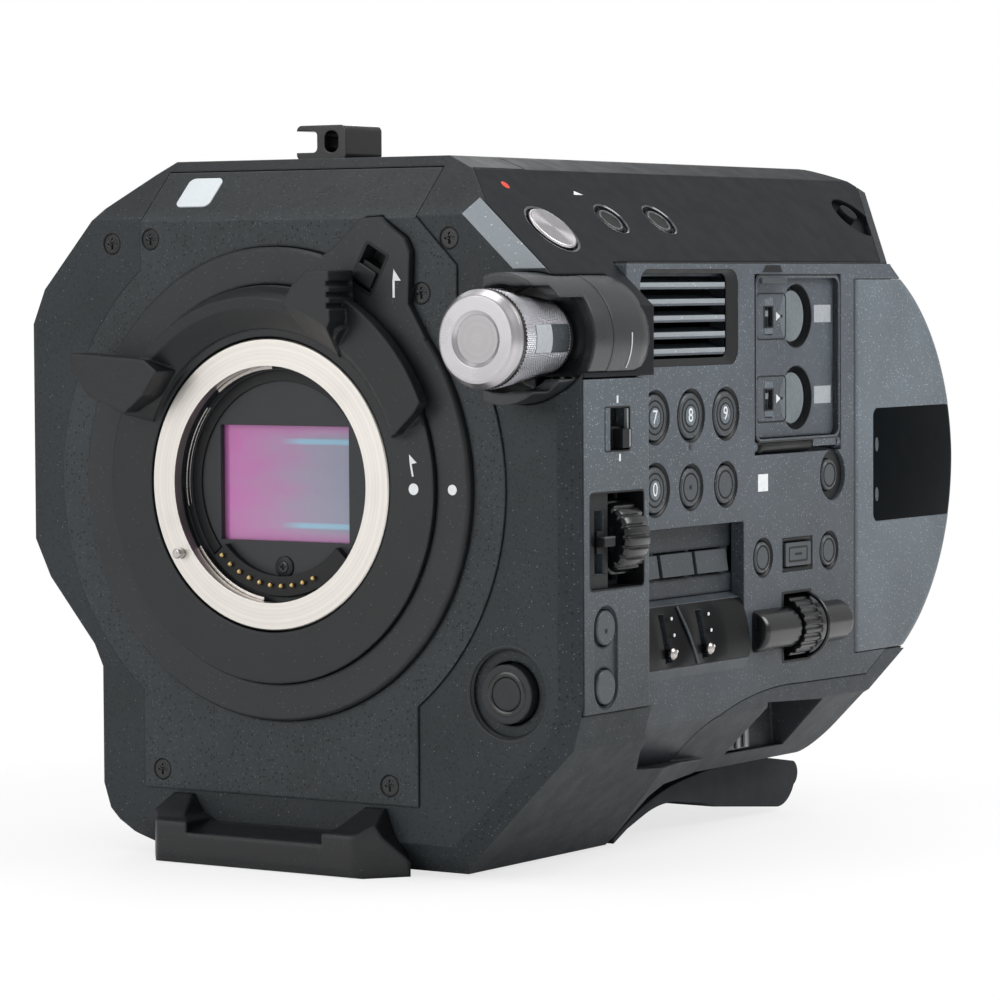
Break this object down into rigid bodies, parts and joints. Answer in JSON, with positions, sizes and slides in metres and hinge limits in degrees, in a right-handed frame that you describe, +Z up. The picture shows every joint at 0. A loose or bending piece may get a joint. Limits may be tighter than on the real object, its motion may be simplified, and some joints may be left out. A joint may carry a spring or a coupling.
{
  "type": "digital cinema camera",
  "caption": "Boxy digital cinema camera body with a bayonet lens mount, filter dial, side control panel, sloping shoulder, card door and sliding shoulder pad.",
  "frame": {"origin": "centre of the lens mount flange, on its front face", "axes": "-Y out of the lens mount, +Y to the rear, +X to the control side, +Z up"},
  "size_m": [0.1333, 0.1836, 0.145],
  "materials": {
    "body_paint": "fine speckled matt paint",
    "side_paint": "fine speckled matt paint",
    "cover_paint": "smooth matt paint",
    "black_plastic": "matt",
    "rubber": "matt",
    "ring_steel": "fine turned",
    "satin_aluminium": "satin",
    "inner_metal": "matt anodised",
    "screw_steel": "black satin",
    "board": "matt",
    "sensor": "coated",
    "lamp": "frosted",
    "smoky": "clear"
  },
  "bodies": {
    "camera_body": {"front_casing": "body_paint", "front_plate": "body_paint", "mount_housing": "black_plastic", "lens_flange": "ring_steel", "light_baffle": "black_plastic", "sensor_glass": "sensor", "contact_block": "black_plastic", "nd_cowl": "black_plastic", "tally_lens": "lamp", "front_foot": "body_paint", "upper_cover": "cover_paint", "front_side_cover": "side_paint", "side_panel": "side_paint", "rear_shell": "body_paint", "base_plate": "inner_metal", "lower_skirt": "body_paint", "inner_frame": "inner_metal", "circuit_boards": "board", "card_unit": "black_plastic", "cable_clip": "black_plastic", "body_screws": "screw_steel"},
    "lens_lock_ring": {"lens_lock_ring": "black_plastic"},
    "release_slider": {"release_slider": "black_plastic"},
    "lens_lock_pin": {"lens_lock_pin": "ring_steel"},
    "nd_dial": {"nd_dial": "satin_aluminium"},
    "nd_idler_gear": {"nd_idler_gear": "inner_metal"},
    "nd_turret": {"nd_turret": "inner_metal"},
    "rec_button": {"rec_button": "satin_aluminium"},
    "hold_button": {"hold_button": "rubber"},
    "full_auto_button": {"full_auto_button": "rubber"},
    "wb_set_button": {"wb_set_button": "rubber"},
    "preset_switch": {"preset_switch": "black_plastic"},
    "iris_wheel": {"iris_wheel": "black_plastic"},
    "iris_selector": {"iris_selector": "black_plastic"},
    "iris_button": {"iris_button": "rubber"},
    "push_auto_button": {"push_auto_button": "rubber"},
    "button_seven": {"button_seven": "rubber"},
    "button_eight": {"button_eight": "rubber"},
    "button_nine": {"button_nine": "rubber"},
    "button_zero": {"button_zero": "rubber"},
    "status_button": {"status_button": "rubber"},
    "display_button": {"display_button": "rubber"},
    "slot_select_button": {"slot_select_button": "rubber"},
    "cancel_button": {"cancel_button": "rubber"},
    "thumbnail_button": {"thumbnail_button": "rubber"},
    "menu_button": {"menu_button": "rubber"},
    "gain_button": {"gain_button": "rubber"},
    "balance_button": {"balance_button": "rubber"},
    "shutter_button": {"shutter_button": "rubber"},
    "gain_switch": {"gain_switch": "black_plastic"},
    "balance_switch": {"balance_switch": "black_plastic"},
    "audio_door": {"audio_door": "smoky"},
    "audio_dial_one": {"audio_dial_one": "black_plastic"},
    "audio_switch_one": {"audio_switch_one": "black_plastic"},
    "audio_dial_two": {"audio_dial_two": "black_plastic"},
    "audio_switch_two": {"audio_switch_two": "black_plastic"},
    "select_wheel": {"select_wheel": "black_plastic"},
    "media_door": {"media_door": "side_paint"},
    "shoulder_pad": {"shoulder_pad": "rubber"},
    "battery_latch": {"battery_latch": "black_plastic"}
  },
  "joints": [
    {"name": "lens_lock_ring_turn", "type": "hinge", "parent": "camera_body", "child": "lens_lock_ring", "pos_m": [0, 0, 0], "axis": [0, 1, 0], "range_deg": [0, 38]},
    {"name": "release_slider_slide", "type": "slide", "parent": "camera_body", "child": "release_slider", "axis": [0.4894, 0, 0.8721], "range_m": [0, 0.0028], "stiffness_N_per_m": 250},
    {"name": "lens_lock_pin_slide", "type": "slide", "parent": "camera_body", "child": "lens_lock_pin", "axis": [0, 1, 0], "range_m": [0, 0.0018], "stiffness_N_per_m": 300},
    {"name": "nd_dial_turn", "type": "hinge", "parent": "camera_body", "child": "nd_dial", "pos_m": [0.058, 0, 0.0286], "axis": [0, 1, 0], "range_deg": [0, 270]},
    {"name": "nd_idler_gear_turn", "type": "hinge", "parent": "camera_body", "child": "nd_idler_gear", "pos_m": [0.03861, 0, 0.00895], "axis": [0, 1, 0], "range_deg": [-111, 0]},
    {"name": "nd_turret_turn", "type": "hinge", "parent": "camera_body", "child": "nd_turret", "pos_m": [0.01923, 0, -0.01069], "axis": [0, 1, 0], "range_deg": [0, 270]},
    {"name": "rec_button_slide", "type": "slide", "parent": "camera_body", "child": "rec_button", "axis": [-0.6745, 0, -0.7382], "range_m": [0, 0.0008], "stiffness_N_per_m": 300},
    {"name": "hold_button_slide", "type": "slide", "parent": "camera_body", "child": "hold_button", "axis": [-0.6745, 0, -0.7382], "range_m": [0, 0.0008], "stiffness_N_per_m": 300},
    {"name": "full_auto_button_slide", "type": "slide", "parent": "camera_body", "child": "full_auto_button", "axis": [-0.6745, 0, -0.7382], "range_m": [0, 0.0008], "stiffness_N_per_m": 300},
    {"name": "wb_set_button_slide", "type": "slide", "parent": "camera_body", "child": "wb_set_button", "axis": [0, 1, 0], "range_m": [0, 0.0008], "stiffness_N_per_m": 300},
    {"name": "preset_switch_slide", "type": "slide", "parent": "camera_body", "child": "preset_switch", "axis": [0, 0, 1], "range_m": [0, 0.0034]},
    {"name": "iris_wheel_turn", "type": "hinge", "parent": "camera_body", "child": "iris_wheel", "pos_m": [0.0639, 0, -0.0096], "axis": [0, 1, 0], "continuous": true},
    {"name": "iris_selector_slide", "type": "slide", "parent": "camera_body", "child": "iris_selector", "axis": [0, 0, 1], "range_m": [-0.0034, 0.0034]},
    {"name": "iris_button_slide", "type": "slide", "parent": "camera_body", "child": "iris_button", "axis": [-1, 0, 0], "range_m": [0, 0.0008], "stiffness_N_per_m": 300},
    {"name": "push_auto_button_slide", "type": "slide", "parent": "camera_body", "child": "push_auto_button", "axis": [-1, 0, 0], "range_m": [0, 0.0008], "stiffness_N_per_m": 300},
    {"name": "button_seven_slide", "type": "slide", "parent": "camera_body", "child": "button_seven", "axis": [-1, 0, 0], "range_m": [0, 0.0008], "stiffness_N_per_m": 300},
    {"name": "button_eight_slide", "type": "slide", "parent": "camera_body", "child": "button_eight", "axis": [-1, 0, 0], "range_m": [0, 0.0008], "stiffness_N_per_m": 300},
    {"name": "button_nine_slide", "type": "slide", "parent": "camera_body", "child": "button_nine", "axis": [-1, 0, 0], "range_m": [0, 0.0008], "stiffness_N_per_m": 300},
    {"name": "button_zero_slide", "type": "slide", "parent": "camera_body", "child": "button_zero", "axis": [-1, 0, 0], "range_m": [0, 0.0008], "stiffness_N_per_m": 300},
    {"name": "status_button_slide", "type": "slide", "parent": "camera_body", "child": "status_button", "axis": [-1, 0, 0], "range_m": [0, 0.0008], "stiffness_N_per_m": 300},
    {"name": "display_button_slide", "type": "slide", "parent": "camera_body", "child": "display_button", "axis": [-1, 0, 0], "range_m": [0, 0.0008], "stiffness_N_per_m": 300},
    {"name": "slot_select_button_slide", "type": "slide", "parent": "camera_body", "child": "slot_select_button", "axis": [-1, 0, 0], "range_m": [0, 0.0008], "stiffness_N_per_m": 300},
    {"name": "cancel_button_slide", "type": "slide", "parent": "camera_body", "child": "cancel_button", "axis": [-1, 0, 0], "range_m": [0, 0.0008], "stiffness_N_per_m": 300},
    {"name": "thumbnail_button_slide", "type": "slide", "parent": "camera_body", "child": "thumbnail_button", "axis": [-1, 0, 0], "range_m": [0, 0.0008], "stiffness_N_per_m": 300},
    {"name": "menu_button_slide", "type": "slide", "parent": "camera_body", "child": "menu_button", "axis": [-1, 0, 0], "range_m": [0, 0.0008], "stiffness_N_per_m": 300},
    {"name": "gain_button_slide", "type": "slide", "parent": "camera_body", "child": "gain_button", "axis": [-1, 0, 0], "range_m": [0, 0.0008], "stiffness_N_per_m": 300},
    {"name": "balance_button_slide", "type": "slide", "parent": "camera_body", "child": "balance_button", "axis": [-1, 0, 0], "range_m": [0, 0.0008], "stiffness_N_per_m": 300},
    {"name": "shutter_button_slide", "type": "slide", "parent": "camera_body", "child": "shutter_button", "axis": [-1, 0, 0], "range_m": [0, 0.0008], "stiffness_N_per_m": 300},
    {"name": "gain_switch_slide", "type": "slide", "parent": "camera_body", "child": "gain_switch", "axis": [0, 0, 1], "range_m": [0, 0.0054]},
    {"name": "balance_switch_slide", "type": "slide", "parent": "camera_body", "child": "balance_switch", "axis": [0, 0, 1], "range_m": [0, 0.0054]},
    {"name": "audio_door_turn", "type": "hinge", "parent": "camera_body", "child": "audio_door", "pos_m": [0.061, 0, 0.0055], "axis": [0, 1, 0], "range_deg": [0, 88]},
    {"name": "audio_dial_one_turn", "type": "hinge", "parent": "camera_body", "child": "audio_dial_one", "pos_m": [0.0625, 0.0984, 0.0318], "axis": [1, 0, 0], "range_deg": [-140, 140]},
    {"name": "audio_switch_one_slide", "type": "slide", "parent": "camera_body", "child": "audio_switch_one", "axis": [0, 0, -1], "range_m": [0, 0.002]},
    {"name": "audio_dial_two_turn", "type": "hinge", "parent": "camera_body", "child": "audio_dial_two", "pos_m": [0.0625, 0.0984, 0.015], "axis": [1, 0, 0], "range_deg": [-140, 140]},
    {"name": "audio_switch_two_slide", "type": "slide", "parent": "camera_body", "child": "audio_switch_two", "axis": [0, 0, -1], "range_m": [0, 0.002]},
    {"name": "select_wheel_turn", "type": "hinge", "parent": "camera_body", "child": "select_wheel", "pos_m": [0.0607, 0, -0.0318], "axis": [0, 1, 0], "continuous": true},
    {"name": "media_door_turn", "type": "hinge", "parent": "camera_body", "child": "media_door", "pos_m": [0.0611, 0.1239, 0], "axis": [0, 0, -1], "range_deg": [0, 88]},
    {"name": "shoulder_pad_slide", "type": "slide", "parent": "camera_body", "child": "shoulder_pad", "axis": [0, 1, 0], "range_m": [0, 0.015]},
    {"name": "battery_latch_slide", "type": "slide", "parent": "camera_body", "child": "battery_latch", "axis": [0, 0, -1], "range_m": [0, 0.004], "stiffness_N_per_m": 200}
  ],
  "couplings": [
    {"joint": "nd_dial_turn", "follows": "nd_turret_turn", "ratio": 1},
    {"joint": "nd_idler_gear_turn", "follows": "nd_turret_turn", "ratio": -0.40816}
  ]
}
